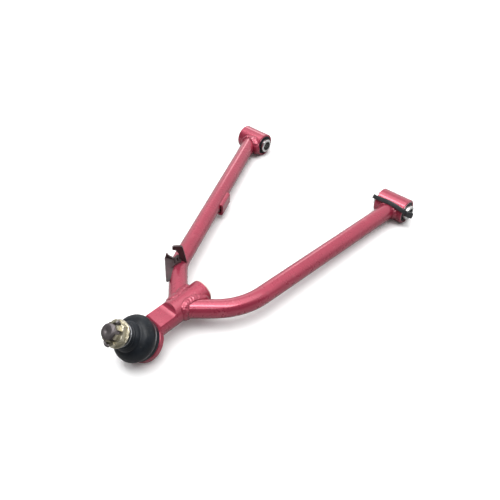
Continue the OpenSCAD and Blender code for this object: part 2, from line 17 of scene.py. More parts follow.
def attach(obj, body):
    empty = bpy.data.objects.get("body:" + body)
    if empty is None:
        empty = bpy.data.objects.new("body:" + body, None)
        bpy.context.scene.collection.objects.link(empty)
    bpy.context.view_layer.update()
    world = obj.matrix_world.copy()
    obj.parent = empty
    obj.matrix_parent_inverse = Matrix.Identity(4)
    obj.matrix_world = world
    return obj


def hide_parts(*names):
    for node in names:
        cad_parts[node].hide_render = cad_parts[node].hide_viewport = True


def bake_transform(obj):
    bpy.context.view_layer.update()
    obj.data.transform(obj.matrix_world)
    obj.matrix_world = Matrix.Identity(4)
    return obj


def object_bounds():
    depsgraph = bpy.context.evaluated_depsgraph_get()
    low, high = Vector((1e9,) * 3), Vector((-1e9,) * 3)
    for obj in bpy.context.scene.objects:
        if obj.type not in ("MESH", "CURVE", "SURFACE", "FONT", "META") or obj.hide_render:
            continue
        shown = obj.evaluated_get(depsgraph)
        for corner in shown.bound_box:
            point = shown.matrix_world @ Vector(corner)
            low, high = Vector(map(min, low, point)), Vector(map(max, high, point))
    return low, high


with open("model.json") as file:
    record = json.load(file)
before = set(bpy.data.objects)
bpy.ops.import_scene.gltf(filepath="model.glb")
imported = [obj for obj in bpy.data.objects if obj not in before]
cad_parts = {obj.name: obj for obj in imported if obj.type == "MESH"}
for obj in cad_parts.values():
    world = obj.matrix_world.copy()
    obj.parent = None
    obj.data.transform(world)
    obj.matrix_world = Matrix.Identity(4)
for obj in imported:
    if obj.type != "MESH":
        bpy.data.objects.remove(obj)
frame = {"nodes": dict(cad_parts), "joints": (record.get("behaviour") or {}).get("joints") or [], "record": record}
cad_low, cad_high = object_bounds()

MM = 0.001
TAU = 2 * math.pi
X_AXIS = Vector((1, 0, 0))
Z_AXIS = Vector((0, 0, 1))
nodes = frame["nodes"]
joints = {joint["name"]: joint for joint in frame["joints"]}
mounts = {mount["name"]: mount for mount in frame["record"]["mounts"]}

# ---------------------------------------------------------------- sizes shared with the CAD
TUBE_R = 8 * MM
SHANK_R = 10.5 * MM
BARREL_R = 12.5 * MM
SPLAY = math.radians(47)
REAR_BEND_OUT = 54.1 * MM
FRONT_BEND_OUT = 52.5 * MM
REAR_TUBE_SHIFT = -3.7 * MM
FRONT_TUBE_SHIFT = 1.3 * MM
YOKE_SETBACK = 43.5 * MM
NUT_TOP = 31.6 * MM
STUD_END = 34.7 * MM
COTTER_LEVEL = NUT_TOP - 2.4 * MM
EAR_BACK = 2 * MM

front_pivot = Vector(mounts["front_pivot"]["pos_m"])
ball = Vector(joints["ball_joint_spin"]["pos_m"])
cup_axis = Vector(joints["ball_joint_spin"]["axis"]).normalized()
swing_axis = Vector(joints["ball_joint_swing"]["axis"]).normalized()


def frame_at(origin, x_axis, y_axis, z_axis):
    """A frame placed at a point, with the given axes."""
    return Matrix.Translation(origin) @ Matrix((x_axis, y_axis, z_axis)).transposed().to_4x4()


def in_metres(points_mm):
    """Points given in millimetres, as vectors in metres."""
    return [Vector(p) * MM for p in points_mm]


# The ball joint's frame: origin at the ball, Z along the stud, X along the swing's axis
ball_frame = frame_at(ball, swing_axis, cup_axis.cross(swing_axis), cup_axis)
# The arm's plane holds both pivots and the ball
arm_length = math.hypot(ball.y, ball.z)
arm_plane = Matrix.Rotation(-math.atan2(ball.z, -ball.y), 4, "X")


# ---------------------------------------------------------------- mesh helpers
def new_object(name, vertices, faces, smooth=True):
    """A mesh object in the row frame."""
    mesh = bpy.data.meshes.new(name)
    mesh.from_pydata([tuple(v) for v in vertices], [], faces)
    mesh.validate()
    mesh.polygons.foreach_set("use_smooth", [smooth] * len(mesh.polygons))
    piece = bpy.data.objects.new(name, mesh)
    bpy.context.scene.collection.objects.link(piece)
    return piece


def outward(piece):
    """Turns the faces of a closed piece so that they all look outward."""
    bm = bmesh.new()
    bm.from_mesh(piece.data)
    bmesh.ops.recalc_face_normals(bm, faces=bm.faces)
    bm.to_mesh(piece.data)
    bm.free()
    return piece


def grid_faces(rows, columns, close_rows, close_columns):
    """Quads of a grid of points, stored row by row."""
    faces = []
    for i in range(rows if close_rows else rows - 1):
        for j in range(columns if close_columns else columns - 1):
            a = i * columns + j
            b = i * columns + (j + 1) % columns
            c = (i + 1) % rows * columns + (j + 1) % columns
            d = (i + 1) % rows * columns + j
            faces.append((a, b, c, d))
    return faces


def smooth_line(points, steps, closed=False):
    """A Catmull-Rom curve through points of any dimension."""
    points = [Vector(p) for p in points]
    count = len(points)
    line = []
    for i in range(count if closed else count - 1):
        if closed:
            p0, p1, p2, p3 = (points[(i + k) % count] for k in (-1, 0, 1, 2))
        else:
            p0, p1, p2, p3 = (points[min(max(i + k, 0), count - 1)] for k in (-1, 0, 1, 2))
        for step in range(steps):
            t = step / steps
            line.append(0.5 * (2 * p1 + (p2 - p0) * t + (2 * p0 - 5 * p1 + 4 * p2 - p3) * t * t
                               + (3 * p1 - p0 - 3 * p2 + p3) * t ** 3))
    if not closed:
        line.append(points[-1])
    return line


def lathe(name, profile, place, segments=128, radius_at=None):
    """Turns a closed profile of (radius, level) pairs about the Z axis of a placed frame.
    radius_at(radius, level, angle) may shape the surface further."""
    vertices = []
    for radius, level in profile:
        for step in range(segments):
            angle = TAU * step / segments
            r = radius_at(radius, level, angle) if radius_at else radius
            vertices.append(place @ Vector((r * math.cos(angle), r * math.sin(angle), level)))
    faces = grid_faces(len(profile), segments, True, True)
    return outward(new_object(name, vertices, faces))


def sweep(name, line, wide, thick, section, closed):
    """A section of (across, up) pairs carried along a line of points, each with its
    directions across and up."""
    vertices = [p + a * u + b * v for p, a, b in zip(line, wide, thick) for u, v in section]
    faces = grid_faces(len(line), len(section), closed, True)
    if not closed:
        last = (len(line) - 1) * len(section)
        faces.append(tuple(range(len(section))))
        faces.append(tuple(last + k for k in reversed(range(len(section)))))
    return outward(new_object(name, vertices, faces))


def round_corners(width, height, radius, steps=4):
    """The outline of a rounded rectangle as (across, up) pairs."""
    outline = []
    for quarter, (sx, sy) in enumerate(((1, 1), (-1, 1), (-1, -1), (1, -1))):
        for step in range(steps + 1):
            angle = math.radians(90 * (quarter + step / steps))
            outline.append((sx * (width / 2 - radius) + radius * math.cos(angle),
                            sy * (height / 2 - radius) + radius * math.sin(angle)))
    return outline


# ---------------------------------------------------------------- materials
class Nodes:
    """Short ways to build one material's node tree."""

    def __init__(self, name):
        self.material = bpy.data.materials.new(name)
        self.material.use_nodes = True
        self.tree = self.material.node_tree
        self.shader = self.tree.nodes["Principled BSDF"]
        self.place = self.add("ShaderNodeTexCoord").outputs["Object"]

    def add(self, kind, **settings):
        node = self.tree.nodes.new(kind)
        for key, value in settings.items():
            setattr(node, key, value)
        return node

    def link(self, source, target):
        self.tree.links.new(source, target)

    def feed(self, socket, value):
        """A socket takes a link or a plain value."""
        if isinstance(value, bpy.types.NodeSocket):
            self.link(value, socket)
        else:
            socket.default_value = value

    def noise(self, scale, detail=3, rough=0.5, place=None):
        node = self.add("ShaderNodeTexNoise")
        node.inputs["Scale"].default_value = scale
        node.inputs["Detail"].default_value = detail
        node.inputs["Roughness"].default_value = rough
        self.link(place or self.place, node.inputs["Vector"])
        return node.outputs["Fac"]

    def span(self, value, low, high, to_low=0.0, to_high=1.0):
        """Maps low..high to to_low..to_high, clamped."""
        node = self.add("ShaderNodeMapRange")
        self.link(value, node.inputs["Value"])
        for name, number in (("From Min", low), ("From Max", high),
                             ("To Min", to_low), ("To Max", to_high)):
            node.inputs[name].default_value = number
        return node.outputs["Result"]

    def maths(self, operation, a, b=0.0):
        node = self.add("ShaderNodeMath", operation=operation)
        self.feed(node.inputs[0], a)
        self.feed(node.inputs[1], b)
        return node.outputs["Value"]

    def vector(self, operation, a, b=None, scale=None, output="Vector"):
        node = self.add("ShaderNodeVectorMath", operation=operation)
        self.feed(node.inputs[0], a)
        if b is not None:
            self.feed(node.inputs[1], b)
        if scale is not None:
            self.feed(node.inputs["Scale"], scale)
        return node.outputs[output]

    def mix(self, share, a, b):
        node = self.add("ShaderNodeMix", data_type="RGBA")
        self.feed(node.inputs["Factor"], share)
        colours = [s for s in node.inputs if s.type == "RGBA"]
        self.feed(colours[0], a if isinstance(a, bpy.types.NodeSocket) else (*a, 1))
        self.feed(colours[1], b if isinstance(b, bpy.types.NodeSocket) else (*b, 1))
        return [s for s in node.outputs if s.type == "RGBA"][0]

    def bump(self, height, strength, distance, onto=None):
        node = self.add("ShaderNodeBump")
        node.inputs["Strength"].default_value = strength
        node.inputs["Distance"].default_value = distance
        self.link(height, node.inputs["Height"])
        if onto is not None:
            self.link(onto, node.inputs["Normal"])
        return node.outputs["Normal"]

    def turned(self, origin, axis):
        """Level along an axis and radius from it, for turned and rolled metal."""
        offset = self.vector("SUBTRACT", self.place, tuple(origin))
        level = self.vector("DOT_PRODUCT", offset, tuple(axis), output="Value")
        along = self.vector("SCALE", tuple(axis), scale=level)
        radius = self.vector("LENGTH", self.vector("SUBTRACT", offset, along), output="Value")
        return level, radius

    def lathe_marks(self, level, radius, scale):
        """Fine rings left by a lathe, on flanks and on end faces alike."""
        node = self.add("ShaderNodeCombineXYZ")
        self.link(level, node.inputs["X"])
        self.link(radius, node.inputs["Y"])
        return self.noise(scale, detail=4, rough=0.7, place=node.outputs["Vector"])

    def done(self, colour, rough, normal=None, **plain):
        """Plain numbers go on the shader's own sockets."""
        self.feed(self.shader.inputs["Base Color"],
                  colour if isinstance(colour, bpy.types.NodeSocket) else (*colour, 1))
        self.feed(self.shader.inputs["Roughness"], rough)
        if normal is not None:
            self.link(normal, self.shader.inputs["Normal"])
        for name, value in plain.items():
            self.shader.inputs[name.replace("_", " ")].default_value = value
        return self.material


def linear(red, green, blue):
    """A display colour, 0 to 255, as scene-linear values."""
    def one(value):
        value /= 255
        return value / 12.92 if value <= 0.04045 else ((value + 0.055) / 1.055) ** 2.4
    return one(red), one(green), one(blue)


def paint(name, colour, dull=0.0):
    """Metallic enamel with orange peel, faint clouding, scuffs and a few chips."""
    n = Nodes(name)
    clouds = n.noise(38, detail=4, rough=0.6)
    tone = n.mix(n.span(clouds, 0.32, 0.68), [c * 0.93 for c in colour],
                 [c * 1.05 for c in colour])
    chips = n.span(n.noise(420, detail=5, rough=0.72), 0.755, 0.775)
    tone = n.mix(n.maths("MULTIPLY", chips, 0.6), tone, linear(92, 38, 48))
    scuffs = n.span(n.noise(95, detail=6, rough=0.7), 0.58, 0.74)
    tone = n.mix(n.maths("MULTIPLY", scuffs, 0.12), tone, linear(226, 178, 184))
    sheen = n.span(n.noise(160, detail=5, rough=0.6), 0.3, 0.7, 0.24 + dull, 0.33 + dull)
    rough = n.maths("ADD", sheen, n.maths("MULTIPLY", scuffs, 0.12))
    peel = n.bump(n.noise(700, detail=2), 0.16, 0.05 * MM)
    normal = n.bump(chips, 0.5, -0.05 * MM, peel)
    return n.done(tone, rough, normal, Metallic=0.45, Coat_Weight=0.8,
                  Coat_Roughness=0.1 + dull / 2, Coat_IOR=1.5, Specular_IOR_Level=0.5)


def rubber(name, tone=(0.0075, 0.0095, 0.0125)):
    """Black rubber with a soft bloom and dust in its folds."""
    n = Nodes(name)
    bloom = n.span(n.noise(130, detail=5, rough=0.65), 0.4, 0.75)
    colour = n.mix(bloom, tone, [c * 2.1 for c in tone])
    dust = n.span(n.noise(620, detail=4, rough=0.6), 0.62, 0.8)
    colour = n.mix(n.maths("MULTIPLY", dust, 0.3), colour, linear(120, 116, 108))
    rough = n.span(n.noise(210, detail=4, rough=0.6), 0.3, 0.7, 0.27, 0.42)
    normal = n.bump(n.noise(900, detail=3), 0.14, 0.05 * MM)
    return n.done(colour, rough, normal, Specular_IOR_Level=0.22)


def metal(name, colour, stain, origin, axis, rough=(0.22, 0.38), marks=5200, stained=0.35):
    """Turned steel: lathe rings, mottled plating and darker stains."""
    n = Nodes(name)
    level, radius = n.turned(origin, axis)
    rings = n.lathe_marks(level, radius, marks)
    mottle = n.span(n.noise(330, detail=5, rough=0.65), 0.35, 0.7)
    tone = n.mix(mottle, [c * 0.82 for c in colour], colour)
    stains = n.span(n.noise(170, detail=6, rough=0.7), 0.5, 0.72)
    tone = n.mix(n.maths("MULTIPLY", stains, stained), tone, stain)
    roughness = n.span(rings, 0.3, 0.7, *rough)
    normal = n.bump(rings, 0.12, 0.02 * MM)
    return n.done(tone, roughness, normal, Metallic=1.0)


def sheet_black():
    """Dark phosphated sheet with a little red overspray."""
    n = Nodes("bracket_black")
    tone = n.mix(n.span(n.noise(120, detail=5, rough=0.65), 0.35, 0.7),
                 linear(50, 36, 38), linear(72, 54, 56))
    spray = n.span(n.noise(75, detail=4, rough=0.6), 0.5, 0.7)
    tone = n.mix(n.maths("MULTIPLY", spray, 0.3), tone, linear(104, 44, 58))
    rough = n.span(n.noise(260, detail=4, rough=0.6), 0.3, 0.7, 0.34, 0.5)
    return n.done(tone, rough, n.bump(n.noise(1300, detail=4), 0.2, 0.04 * MM), Coat_Weight=0.25,
                  Coat_Roughness=0.3)


def primer():
    """Pale primer at the shank's end, with red paint feathering onto it."""
    n = Nodes("plug_primer")
    tone = n.mix(n.span(n.noise(240, detail=5, rough=0.6), 0.35, 0.7),
                 linear(206, 196, 186), linear(232, 222, 214))
    spray = n.span(n.noise(150, detail=5, rough=0.7), 0.52, 0.66)
    tone = n.mix(n.maths("MULTIPLY", spray, 0.6), tone, linear(196, 112, 124))
    return n.done(tone, n.span(n.noise(300, detail=3), 0.3, 0.7, 0.35, 0.5),
                  n.bump(n.noise(900, detail=4), 0.2, 0.05 * MM))


def plastic(name, tone):
    """Moulded nylon: slight flow marks."""
    n = Nodes(name)
    colour = n.mix(n.span(n.noise(150, detail=4, rough=0.6), 0.35, 0.7),
                   [c * 0.8 for c in tone], tone)
    rough = n.span(n.noise(420, detail=3), 0.3, 0.7, 0.26, 0.4)
    return n.done(colour, rough, n.bump(n.noise(1500, detail=2), 0.1, 0.02 * MM),
                  Specular_IOR_Level=0.5)


PAINT = (0.39, 0.037, 0.077)
looks = {
    "arm_paint": paint("arm_paint", PAINT),
    "bead_paint": paint("bead_paint", [c * 0.93 for c in PAINT]),
    "bracket_black": sheet_black(),
    "plug_primer": primer(),
    "sleeve_steel": metal("sleeve_steel", (0.86, 0.86, 0.85), linear(120, 112, 100), front_pivot,
                          X_AXIS, rough=(0.2, 0.34), stained=0.15),
    "stud_steel": metal("stud_steel", (0.19, 0.17, 0.175), linear(70, 58, 56), ball, cup_axis,
                        rough=(0.42, 0.6)),
    "zinc_yellow": metal("zinc_yellow", (0.60, 0.56, 0.44), linear(122, 112, 78), ball, cup_axis,
                         rough=(0.3, 0.48), marks=2600, stained=0.5),
    "pin_steel": metal("pin_steel", (0.24, 0.22, 0.22), linear(82, 72, 66), ball, cup_axis,
                       rough=(0.3, 0.45)),
    "ring_steel": metal("ring_steel", (0.25, 0.25, 0.26), linear(96, 90, 84), ball, cup_axis),
    "shell_steel": metal("shell_steel", (0.40, 0.41, 0.43), linear(84, 76, 70), ball, cup_axis,
                         rough=(0.34, 0.5)),
    "black_rubber": rubber("black_rubber"),
    "seat_plastic": plastic("seat_plastic", linear(226, 214, 184)),
}
tie_nylon = plastic("tie_nylon", (0.030, 0.031, 0.034))


def dress(piece, material, body):
    """Gives a new piece its material and the body that it rides on."""
    piece.data.materials.clear()
    piece.data.materials.append(material)
    if body:
        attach(piece, body)
    return piece


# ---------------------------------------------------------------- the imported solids
def soften_edges(piece, width):
    """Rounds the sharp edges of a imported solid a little, so that they catch the light."""
    join = piece.modifiers.new("join", "WELD")
    join.merge_threshold = 0.002 * MM
    bevel = piece.modifiers.new("soft_edges", "BEVEL")
    bevel.width = width
    bevel.segments = 3
    bevel.limit_method = "ANGLE"
    bevel.angle_limit = math.radians(32)
    bevel.harden_normals = True
    bevel.use_clamp_overlap = True
    even = piece.modifiers.new("even", "WEIGHTED_NORMAL")
    even.keep_sharp = True


slot_of = {part["node"]: part["material_slot"] for part in frame["record"]["subparts"]}
for name, piece in nodes.items():
    for material_slot in piece.material_slots:
        material_slot.material = looks[slot_of[name]]

EDGE_WIDTHS = {
    "knuckle": 0.45 * MM,
    "hose_bracket": 0.35 * MM,
    "hose_guide": 0.35 * MM,
    "castle_nut": 0.22 * MM,
    "shank_end_plug": 0.2 * MM,
}
for name, width in EDGE_WIDTHS.items():
    soften_edges(nodes[name], width)


# ---------------------------------------------------------------- weld beads
def heading_vector(heading):
    """A direction in the arm's plane: 0 runs along -Y, a quarter turn along +X."""
    return Vector((math.sin(heading), -math.cos(heading), 0))


class Bar:
    """A round bar in the arm's plane: a point, a direction and a radius."""

    def __init__(self, start, run, radius):
        self.start, self.run, self.radius = start, run, radius

    def off_axis(self, point):
        offset = point - self.start
        return offset - self.run * offset.dot(self.run)

    def normal(self, point):
        return self.off_axis(point).normalized()

    def onto(self, point, under):
        """The nearest point of the skin, a little under it."""
        off = self.off_axis(point)
        return point + off.normalized() * (self.radius - under - off.length)


def seam_points(tube, bar, steps):
    """Where the tube's skin meets the bar, going round the tube."""
    side = Vector((-tube.run.y, tube.run.x, 0))
    points = []
    for step in range(steps):
        angle = TAU * step / steps
        skin = tube.start + (side * math.cos(angle) + Z_AXIS * math.sin(angle)) * tube.radius
        base = bar.off_axis(skin)
        run = tube.run - bar.run * tube.run.dot(bar.run)
        a, b, c = run.dot(run), base.dot(run), base.dot(base) - bar.radius ** 2
        points.append(skin + tube.run * (-b + math.sqrt(max(b * b - a * c, 0))) / a)
    return points


BEAD_STEPS = 11             # points across a bead
TOE_SINK = 0.12 * MM        # how far a bead's toes run in under the skin
ROOT_SINK = 0.5 * MM        # how far its root lies under the seam
SCALE_RISE = 0.3 * MM       # height of the scales that the welding leaves
SCALE_BOW = 0.9             # how far a scale bows back at the crown, in scales
LUMP_RISE = 0.42 * MM
LUMPS_PER_METRE = 230
END_SIZE, END_SLOPE = 0.3, 7    # an open bead's ends, as a share of its middle, and their rise


def away_from_seam(tangent, own_normal, other_normal):
    """The direction along one skin that leads out from under the other."""
    away = tangent.cross(own_normal)
    away *= 1 if away.dot(other_normal) > 0 else -1
    return away


def fillet(name, points, first, second, closed, legs, crown, pitch, rough, seed):
    """A weld bead along a seam between two bars: overlapping scales, an uneven toe and a
    crown between its legs. legs gives both legs at a seam point."""
    count = len(points)
    length = sum((points[(i + 1) % count] - points[i]).length
                 for i in range(count if closed else count - 1))
    scales = max(1, round(length / pitch))
    vertices = []
    travelled = 0.0
    for i, point in enumerate(points):
        after = points[(i + 1) % count] if closed or i + 1 < count else point
        before = points[i - 1] if closed or i else point
        tangent = (after - before).normalized()
        n1, n2 = first.normal(point), second.normal(point)
        away1, away2 = away_from_seam(tangent, n1, n2), away_from_seam(tangent, n2, n1)
        leg1, leg2 = legs(point)
        place = Vector((seed, 0, 0)) + point * LUMPS_PER_METRE
        leg1 *= 1 + rough * noise.noise(place)
        leg2 *= 1 + rough * noise.noise(place + Vector((0, 9, 0)))
        from_end = min(i, count - 1 - i)
        end = 1.0 if closed else min(1.0, END_SIZE + END_SLOPE * from_end / count)
        toe1 = first.onto(point + away1 * leg1 * end, TOE_SINK)
        toe2 = second.onto(point + away2 * leg2 * end, TOE_SINK)
        up = (n1 + n2).normalized()
        for k in range(BEAD_STEPS):
            share = k / (BEAD_STEPS - 1)
            dome = 4 * share * (1 - share)
            phase = (travelled / length * scales + SCALE_BOW * dome) % 1.0
            scale = 1 - abs(2 * phase - 1) ** 1.6
            swell = crown * (leg1 + leg2) / 2 + SCALE_RISE * scale
            lump = noise.noise(place * 2.6 + Vector((0, 0, 5 * share)))
            swell += LUMP_RISE * rough * lump * 3
            vertices.append(toe1.lerp(toe2, share) + up * swell * dome ** 0.7 * end)
        vertices.append(point - up * ROOT_SINK)
        travelled += (after - point).length
    vertices = [arm_plane @ v for v in vertices]
    sides = BEAD_STEPS + 1
    faces = grid_faces(count, sides, closed, True)
    if not closed:
        last = (count - 1) * sides
        faces.append(tuple(range(sides)))
        faces.append(tuple(last + k for k in reversed(range(sides))))
    return outward(new_object(name, vertices, faces))


yoke = Vector((ball.x, YOKE_SETBACK - arm_length, 0))


def bend_corner(side, bend_out):
    """Where a tube's two straights meet; side is 1 for the rear tube, -1 for the front."""
    return yoke - heading_vector(side * SPLAY) * bend_out


rear_corner = bend_corner(1, REAR_BEND_OUT)
rear_foot = Vector((REAR_TUBE_SHIFT, 0, 0))
front_foot = Vector((front_pivot.x + FRONT_TUBE_SHIFT, 0, 0))
rear_first = Bar(rear_foot, (rear_corner - rear_foot).normalized(), TUBE_R)
front_first = Bar(front_foot, (bend_corner(-1, FRONT_BEND_OUT) - front_foot).normalized(), TUBE_R)
rear_second = Bar(yoke, -heading_vector(SPLAY), TUBE_R)
front_second = Bar(yoke, -heading_vector(-SPLAY), TUBE_R)
barrels = Bar(Vector(), X_AXIS, BARREL_R)
shank = Bar(yoke, Vector((0, 1, 0)), SHANK_R)


# Each of these gives a bead's two legs at a seam point: on the tube, and on the part
# that the tube is welded to
def rear_legs(point):
    """The rear weld spreads along its barrel on the inner side, where the tube leans in."""
    inner = max(0.0, min(1.0, (point.x - 1 * MM) / (5 * MM)))
    return (2.4 + 1.2 * inner) * MM, (2.6 + 3.6 * inner) * MM


def front_legs(_point):
    return 2.2 * MM, 2.6 * MM


def yoke_legs(point):
    """The yoke's welds are widest on top, where the gun had room."""
    top = max(0.0, point.z / SHANK_R)
    return (2.6 + 0.8 * top) * MM, (2.8 + 2.6 * top) * MM


def ear_legs(_point):
    return 1.7 * MM, 1.5 * MM


SEAM_STEPS = 420
welds = {
    "rear_barrel_weld": dict(first=rear_first, second=barrels, legs=rear_legs,
                             crown=0.22, pitch=2.3 * MM, rough=0.30, seed=3.0),
    "front_barrel_weld": dict(first=front_first, second=barrels, legs=front_legs,
                              crown=0.10, pitch=2.0 * MM, rough=0.16, seed=11.0),
    "rear_yoke_weld": dict(first=rear_second, second=shank, legs=yoke_legs,
                           crown=0.20, pitch=2.3 * MM, rough=0.30, seed=23.0),
    "front_yoke_weld": dict(first=front_second, second=shank, legs=yoke_legs,
                            crown=0.22, pitch=2.4 * MM, rough=0.34, seed=37.0),
}
for name, weld in welds.items():
    seam = seam_points(weld["first"], weld["second"], SEAM_STEPS)
    piece = fillet(name + "_bead", seam, closed=True, **weld)
    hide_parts(name)
    dress(piece, looks["bead_paint"], "arm")

# The hose bracket's bead runs over the tube behind its ear
ear_back = rear_corner + heading_vector(SPLAY) * EAR_BACK


class Ear:
    """The flat back of the bracket's ear, taken as one side of a seam."""

    def normal(self, _point):
        return -heading_vector(SPLAY)

    def onto(self, point, under):
        return point + heading_vector(SPLAY) * under


rear_bent = Bar(rear_corner, heading_vector(SPLAY), TUBE_R)
across = Vector((math.cos(SPLAY), math.sin(SPLAY), 0))
EAR_SEAM_STEPS = 150
EAR_SEAM_START = 20     # degrees round the tube, from its inner side
EAR_SEAM_SPAN = 120
ear_angles = [math.radians(EAR_SEAM_START + EAR_SEAM_SPAN * k / EAR_SEAM_STEPS)
              for k in range(EAR_SEAM_STEPS + 1)]
ear_seam = [ear_back + (across * math.cos(a) + Z_AXIS * math.sin(a)) * TUBE_R
            for a in ear_angles]
piece = fillet("hose_bracket_weld_bead", ear_seam, rear_bent, Ear(), closed=False,
               legs=ear_legs, crown=0.2, pitch=1.8 * MM, rough=0.25, seed=51.0)
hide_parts("hose_bracket_weld")
dress(piece, looks["bead_paint"], "arm")

# ---------------------------------------------------------------- dust boot
BOOT_WALL = 1.5 * MM
BOOT_NECK_R = 7.3 * MM          # the wall's inside ends here, where the neck's bore starts
BOOT_NECK_START = 15.6 * MM
# The outside from the neck down to the collar, as (radius, level)
outer_mm = [
    (8.7, 20.6), (9.0, 20.2), (9.0, 18.9), (8.3, 18.3), (8.3, 17.0), (9.3, 16.7), (9.7, 16.2),
    (9.4, 15.6), (10.1, 15.1), (10.3, 14.5), (10.0, 13.9), (10.6, 13.2), (11.3, 12.4),
    (11.9, 11.3), (12.0, 10.6), (12.8, 10.1), (14.4, 9.5), (16.2, 8.2), (17.6, 6.3), (18.5, 4.2),
    (18.8, 2.4), (18.6, 0.5), (18.0, -0.9), (17.5, -1.5),
]
boot_outer = [p * MM for p in smooth_line(outer_mm, 5)]
boot_inner = []
for i, p in enumerate(boot_outer):
    ahead = boot_outer[min(i + 1, len(boot_outer) - 1)] - boot_outer[max(i - 1, 0)]
    inward = Vector((ahead.y, -ahead.x)).normalized()
    boot_inner.append(p + inward * BOOT_WALL)
boot_inner = [p for p in boot_inner if p.x > BOOT_NECK_R and p.y < BOOT_NECK_START]
# The collar, with the groove for the lower ring
collar = in_metres([
    (16.9, -1.62), (16.32, -1.75), (16.28, -2.85), (16.7, -3.0), (16.95, -3.3), (17.0, -4.4),
    (16.93, -5.2), (17.0, -6.0), (17.0, -6.9), (16.75, -7.3), (16.4, -7.39), (14.3, -7.39),
    (14.02, -7.1), (14.02, -1.6), (14.3, -1.2),
])
neck = in_metres([(7.22, 16.0), (7.22, 20.3), (7.4, 20.6)])
boot_profile = boot_outer + collar + boot_inner[::-1][::2] + neck


def boot_ripple(radius, level, angle):
    """Moulded rubber is never quite round."""
    place = Vector((math.cos(angle), math.sin(angle), level * 90)) * 1.7
    return radius * (1 + 0.004 * noise.noise(place))


boot = lathe("dust_boot_rubber", boot_profile, ball_frame, 144, boot_ripple)
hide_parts("dust_boot")
dress(boot, looks["black_rubber"], None)
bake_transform(boot)

# ---------------------------------------------------------------- ball stud
THREAD_PITCH = 1.25 * MM
THREAD_DEPTH = 0.72 * MM
THREAD_R = 6 * MM
THREAD_START = 20.7 * MM
THREAD_ROWS = 150
THREAD_RUN_IN = 1.2 * MM
STUD_CHAMFER = 0.9 * MM
ROUNDING = 1e-6
BALL_R_MM = 9.5
# The ball, the neck and the taper. The profile stops just short of the axis at both ends
stud_mm = [(0.02, -BALL_R_MM)] + [
    (BALL_R_MM * math.cos(math.radians(a)), BALL_R_MM * math.sin(math.radians(a)))
    for a in range(-80, 55, 5)
] + [(5.6, 8.2), (5.6, 11.0), (7.2, 12.0), (6.35, 20.5), (6.0, 20.7)]
stud_profile = in_metres(stud_mm)
stud_profile += [Vector((THREAD_R, THREAD_START + (STUD_END - THREAD_START) * k / THREAD_ROWS))
                 for k in range(1, THREAD_ROWS + 1)]
# The end face, with its centre mark
stud_profile += in_metres([(5.0, 34.72), (3.8, 34.7), (1.1, 34.66), (0.9, 34.5), (0.5, 34.4),
                           (0.02, 34.38)])


def threaded(radius, level, angle):
    """Cuts the thread, with a chamfer at the stud's end."""
    if radius < THREAD_R - ROUNDING or level < THREAD_START + ROUNDING:
        return radius
    # A flat crest, two flanks and a flat root
    phase = (level / THREAD_PITCH - angle / TAU) % 1.0
    ridge = min(1.0, max(0.0, 1.35 - abs(2 * phase - 1) * 1.7))
    fade = min(1.0, (level - THREAD_START) / THREAD_RUN_IN)
    chamfer = max(0.0, STUD_CHAMFER - (STUD_END - level))
    cut = THREAD_R - THREAD_DEPTH * (1 - ridge) * fade
    return min(cut, THREAD_R - chamfer)


stud = lathe("ball_stud_steel", stud_profile, ball_frame, 112, threaded)
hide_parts("ball_stud")
dress(stud, looks["stud_steel"], "stud")

# ---------------------------------------------------------------- split pin
PIN_R = 1.35 * MM
PIN_SPLIT = 0.04 * MM       # each half stands this far off the middle
EYE_MIDDLE_MM = 8.1
EYE_R_MM = 1.05
EYE_WIRE = 0.75             # the eye's wire as a share of a leg's
EYE_STEPS = 40


def half_round(flip):
    """Half of a round wire, split along its middle."""
    outline = [(PIN_R * math.cos(math.radians(a)), PIN_R * math.sin(math.radians(a)) + PIN_SPLIT)
               for a in range(0, 181, 15)]
    return [(u, flip * v) for u, v in outline]


def pin_leg(name, route_mm, flip):
    """One leg of the pin, its flat side towards the other leg."""
    line = in_metres(smooth_line(route_mm, 8))
    wide, thick = [], []
    for i in range(len(line)):
        tangent = (line[min(i + 1, len(line) - 1)] - line[max(i - 1, 0)]).normalized()
        up = (Z_AXIS - tangent * tangent.z).normalized()
        wide.append(tangent.cross(up))
        thick.append(up)
    piece = sweep(name, line, wide, thick, half_round(flip), False)
    piece.data.transform(ball_frame @ Matrix.Translation((0, 0, COTTER_LEVEL)))
    return piece


straight_mm = [(0, 9.2, 0), (0, 7.2, 0), (0, 0, 0), (0, -7.2, 0)]
long_leg = pin_leg("split_pin_long_leg", straight_mm + [
    (0.5, -8.5, 0), (2.2, -9.2, 0.1), (4.2, -8.9, 0.3), (5.8, -8.0, 0.5)], 1)
short_leg = pin_leg("split_pin_short_leg", straight_mm + [
    (-0.1, -8.4, -0.1), (0.2, -9.7, -0.4)], -1)
eye_angles = [TAU * k / EYE_STEPS for k in range(EYE_STEPS)]
eye_line = in_metres([(0, EYE_MIDDLE_MM + EYE_R_MM * math.cos(a), EYE_R_MM * math.sin(a))
                      for a in eye_angles])
eye_out = [Vector((0, math.cos(a), math.sin(a))) for a in eye_angles]
eye = sweep("split_pin_eye", eye_line, [X_AXIS] * EYE_STEPS, eye_out,
            [(u * EYE_WIRE, v * EYE_WIRE) for u, v in half_round(1)], True)
eye.data.transform(ball_frame @ Matrix.Translation((0, 0, COTTER_LEVEL)))
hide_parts("cotter_pin")
for piece in (long_leg, short_leg, eye):
    dress(piece, looks["pin_steel"], "stud")

# ---------------------------------------------------------------- cable tie
# A tie is looped through the front pivot's sleeve and closed over the barrel's front
TIE_W = 4.2 * MM
TIE_T = 1.2 * MM
